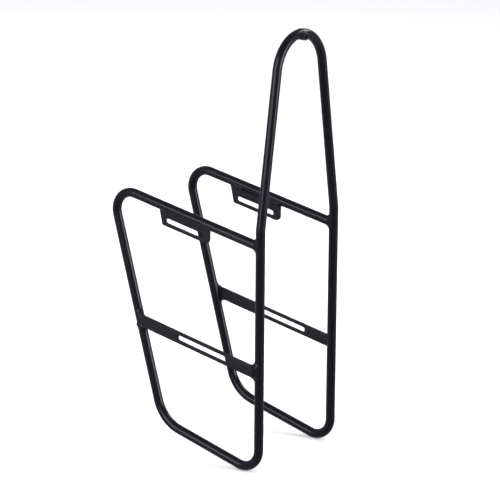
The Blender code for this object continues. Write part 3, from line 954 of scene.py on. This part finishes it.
# ---- the top of the arch
@dataclass
class ArchTop:
    """The threaded boss under the top of the arch, its welds, and the butt weld of the two tubes."""

    layout: Layout
    boss_radius: float = 0.004
    boss_length: float = 0.0165
    chamfer: float = 0.0005
    core_radius: float = 0.0021
    thread_pitch: float = 0.0008
    thread_depth: float = 0.00038
    thread_fade: float = 0.2
    thread_rows: int = 176
    sides: int = 64

    @property
    def centre(self) -> Array:
        """Middle of the boss."""
        return np.array([self.layout.leg_x, 0.0, self.layout.apex_z - self.layout.boss_drop])

    def boss(self) -> Piece:
        """The boss: a closed profile turned about its axis, with a thread wound into its bore.

        The bore's radius is the core's plus depth (1 + cos(2 pi (x / pitch) - a)) / 2, so that its
        grooves climb one pitch a turn. They fade out towards both mouths.
        """
        half, c = self.boss_length / 2, self.chamfer
        r, core = self.boss_radius, self.core_radius
        bore_x = np.linspace(half - c, c - half, self.thread_rows)
        outer = np.array([[-half, core + c], [-half, r - c], [c - half, r], [half - c, r], [half, r - c],
                          [half, core + c]])
        x = np.concatenate([outer[:, 0], bore_x])
        radius = np.concatenate([outer[:, 1], np.full(len(bore_x), core)])
        a = full_turn(self.sides)
        fade = np.sin(math.pi * np.linspace(0, 1, len(bore_x))) ** self.thread_fade
        in_bore = np.concatenate([np.zeros(len(outer)), fade])
        groove = (1 + np.cos(2 * math.pi * x[:, None] / self.thread_pitch - a)) / 2
        radii = radius[:, None] + self.thread_depth * in_bore[:, None] * groove
        along = np.broadcast_to(x[:, None], radii.shape)
        grid = np.stack([along, radii * np.cos(a), radii * np.sin(a)], axis=-1)
        return ring_surface("threaded_boss", self.centre + grid, sharp_deg=35.0)

    def boss_weld(self, end: End) -> Weld:
        """The fillet round one end of the boss where it leaves the tubes."""
        lay = self.layout
        reach, stub, core_out, inner_clip, outer_clip = 0.0016, 0.03, 0.0042, 0.0025, 0.0060
        aside, room_below, room_above = 0.0075, 0.0075, 0.0082
        bend_centre = np.array([lay.leg_x, 0.0, lay.apex_z - lay.arch_bend])
        arch = arc_bar(bend_centre, lay.arch_bend, lay.tube_radius)
        forward = end.value * FORWARD
        boss = round_bar(self.centre, self.centre + stub * forward, self.boss_radius)
        core = self.centre + forward * core_out
        low = self.centre - np.array([0.0, aside, room_below])
        high = self.centre + np.array([0.0, aside, room_above])
        low[0], high[0] = sorted([core[0] - inner_clip * end.value, self.centre[0] + outer_clip * end.value])

        def travel(points: Array) -> Array:
            away = points - self.centre
            return self.boss_radius * np.arctan2(away[..., 1], away[..., 2])

        return Weld(f"boss_{end.label}_weld", f"apex_weld_{end.label}", [arch, boss], even(reach), core,
                    FORWARD, 0.0, low, high, travel, ripple_pitch=0.0013)

    def butt_weld(self) -> Piece:
        """The low bead round the arch where the two tubes meet.

        Its section is an arch of cosine shape over the tube's skin, closed under it, and the section is
        carried round the tube. The height follows 1 + swell cos(ripples a + lag |v|), where v runs from
        -1 to 1 over the width, and the crown sways from side to side with the ripples.
        """
        lay = self.layout
        half_width, height, sunk, rim_sunk = 0.0017, 0.00030, 0.0004, 0.00005
        ripples, swell, lag, sway, shape = 20, 0.14, 2.2, 0.0001, 1.2
        section_points, round_points = 17, 160
        v = np.linspace(-1, 1, section_points)
        a = full_turn(round_points)[:, None]
        hump = np.cos(math.pi / 2 * v)
        crown = hump ** shape * (1 + swell * np.cos(ripples * a + lag * np.abs(v)))
        top = lay.tube_radius - rim_sunk + height * crown
        bottom = np.broadcast_to(lay.tube_radius - sunk, top.shape)
        radius = np.concatenate([top, bottom[:, ::-1]], axis=1)
        aside = np.concatenate([v, v[::-1]]) * half_width + 0 * a
        aside = aside + np.concatenate([hump, 0 * hump]) * sway * np.sin(ripples * a)
        bend = aside / lay.arch_bend
        reach_up = lay.arch_bend + radius * np.cos(a)
        grid = np.stack([lay.leg_x + radius * np.sin(a), reach_up * np.sin(bend),
                         lay.apex_z - lay.arch_bend + reach_up * np.cos(bend)], axis=-1)
        return ring_surface("arch_butt_weld", grid)

    def build(self, shop: Workshop) -> None:
        """Make the boss and the three welds at the top."""
        # The boss gets the lighter coat, whose extra lightness is a painted highlight.
        shop.finish(self.boss(), BOSS_COAT_WITH_PAINTED_HIGHLIGHT, "apex_boss")
        for end in End:
            self.boss_weld(end).build(shop)
        shop.finish(self.butt_weld(), WELD_COAT)


# ---- the studio
@dataclass(frozen=True)
class SoftLight:
    """A rectangular soft light, placed round the rack by compass angle and height and aimed at it.

    Angles are degrees. Azimuth 0 is towards -Y and grows towards +X; 90 is straight ahead of the rack.
    """

    name: str
    azimuth: float
    elevation: float
    distance: float
    size: Pair
    power: float
    in_reflections: bool = True

    def place(self, target: Array) -> None:
        """Make the light, aimed at the target."""
        azimuth, elevation = math.radians(self.azimuth), math.radians(self.elevation)
        way = Vector((math.sin(azimuth) * math.cos(elevation), -math.cos(azimuth) * math.cos(elevation),
                      math.sin(elevation)))
        data = bpy.data.lights.new(self.name, "AREA")
        data.shape = "RECTANGLE"
        data.size, data.size_y = self.size
        data.energy = self.power
        lamp = into_scene(self.name, data)
        lamp.location = Vector(target) + way * self.distance
        lamp.visible_glossy = self.in_reflections
        lamp.rotation_euler = way.to_track_quat("Z", "Y").to_euler()


@dataclass
class Studio:
    """A pale floor, soft lights, a surround and the camera.

    The surround's strength is above over the horizon. Under it, it goes from the first number of below
    to the second as the direction turns from the front to the side, measured along behind.
    """

    floor_z: float
    lights: tuple[SoftLight, ...] = (
        SoftLight("overhead", -143, 52, 4.6, (7.0, 7.0), 165, in_reflections=False),
        SoftLight("side_left", -70, 30, 3.0, (0.8, 0.8), 50, in_reflections=False),
        SoftLight("key_left", -9, 21, 2.6, (2.3, 1.9), 78),
        SoftLight("back_high", 165, 35, 2.6, (1.2, 0.8), 32),
        SoftLight("side_right", 107, 8, 2.8, (1.6, 1.2), 68),
    )
    tint: Triple = (0.965, 0.96, 1.06)
    above: float = 0.26
    below: Pair = (0.05, 0.55)
    behind: Triple = (-0.6, 0.8, 0.0)
    front_to_side: Pair = (-0.9, 0.0)
    horizon_band: Pair = (-0.12, 0.08)
    floor_radius: float = 14.0
    floor_sides: int = 96
    floor_grey: float = 0.9
    floor_roughness: float = 0.9
    camera_place: Triple = (1.559, -2.0717, 0.7915)
    heading_deg: float = 126.799
    dip_deg: float = 15.063
    roll_deg: float = -0.460
    lens_mm: float = 180.18

    def floor(self) -> None:
        """A wide round floor under the lowest point."""
        a = full_turn(self.floor_sides)
        rim = self.floor_radius * np.stack([np.cos(a), np.sin(a), 0 * a], axis=1)
        mesh = bpy.data.meshes.new("floor")
        mesh.from_pydata((rim + self.floor_z * UP).tolist(), [], [list(range(len(rim)))])
        paint = bpy.data.materials.new("floor_paint")
        paint.use_nodes = True
        shader = paint.node_tree.nodes["Principled BSDF"]
        shader.inputs["Base Color"].default_value = (*[self.floor_grey] * 3, 1)
        shader.inputs["Roughness"].default_value = self.floor_roughness
        mesh.materials.append(paint)
        ground = into_scene("floor", mesh)
        ground.visible_glossy = False
        ground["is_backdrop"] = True

    def camera(self) -> None:
        """The camera: heading from +X round to +Y, dip below the horizon, roll about the view."""
        heading, dip, roll = (math.radians(d) for d in (self.heading_deg, self.dip_deg, self.roll_deg))
        view = Vector((math.cos(dip) * math.cos(heading), math.cos(dip) * math.sin(heading), -math.sin(dip)))
        level = Vector((math.sin(heading), -math.cos(heading), 0))
        down = view.cross(level)
        right = level * math.cos(roll) + down * math.sin(roll)
        upward = level * math.sin(roll) - down * math.cos(roll)
        data = bpy.data.cameras.new("camera")
        data.lens = self.lens_mm
        camera = into_scene("camera", data)
        camera.matrix_world = Matrix.Translation(self.camera_place) @ Matrix(
            (right, upward, -view)).transposed().to_4x4()
        bpy.context.scene.camera = camera

    def surround(self) -> None:
        """The room round the floor: even above the horizon, and darker below it towards the front."""
        world = bpy.data.worlds.new("surround")
        world.use_nodes = True
        tree = world.node_tree
        direction = tree.nodes.new("ShaderNodeTexCoord").outputs["Object"]
        height = tree.nodes.new("ShaderNodeSeparateXYZ")
        facing = tree.nodes.new("ShaderNodeVectorMath")
        facing.operation = "DOT_PRODUCT"
        facing.inputs[1].default_value = self.behind
        tree.links.new(direction, height.inputs[0])
        tree.links.new(direction, facing.inputs[0])
        below = map_range(tree, facing.outputs["Value"], self.front_to_side, self.below)
        over = map_range(tree, height.outputs["Z"], self.horizon_band, (0, self.above))
        tree.links.new(below, over.node.inputs["To Min"])
        background = tree.nodes["Background"]
        background.inputs["Color"].default_value = (*self.tint, 1)
        tree.links.new(over, background.inputs["Strength"])
        bpy.context.scene.world = world

    def build(self, target: Array) -> None:
        """Set up the studio, with its lights aimed at the target."""
        self.surround()
        bpy.context.scene.view_settings.view_transform = "Standard"
        self.floor()
        for light in self.lights:
            light.place(target)
        self.camera()


def main() -> None:
    logging.basicConfig(level=logging.INFO, format="%(name)s: %(message)s")
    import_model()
    cad_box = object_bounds()
    layout = Layout.from_frame()
    shop = Workshop()
    for side in Side:
        SideFrame(layout, side).build(shop)
    ArchTop(layout).build(shop)
    low, high = cad_box
    Studio(floor_z=low.z).build(np.array((low + high) / 2))
    log.info("%d pieces", shop.count)


if __name__ == "__main__":
    main()
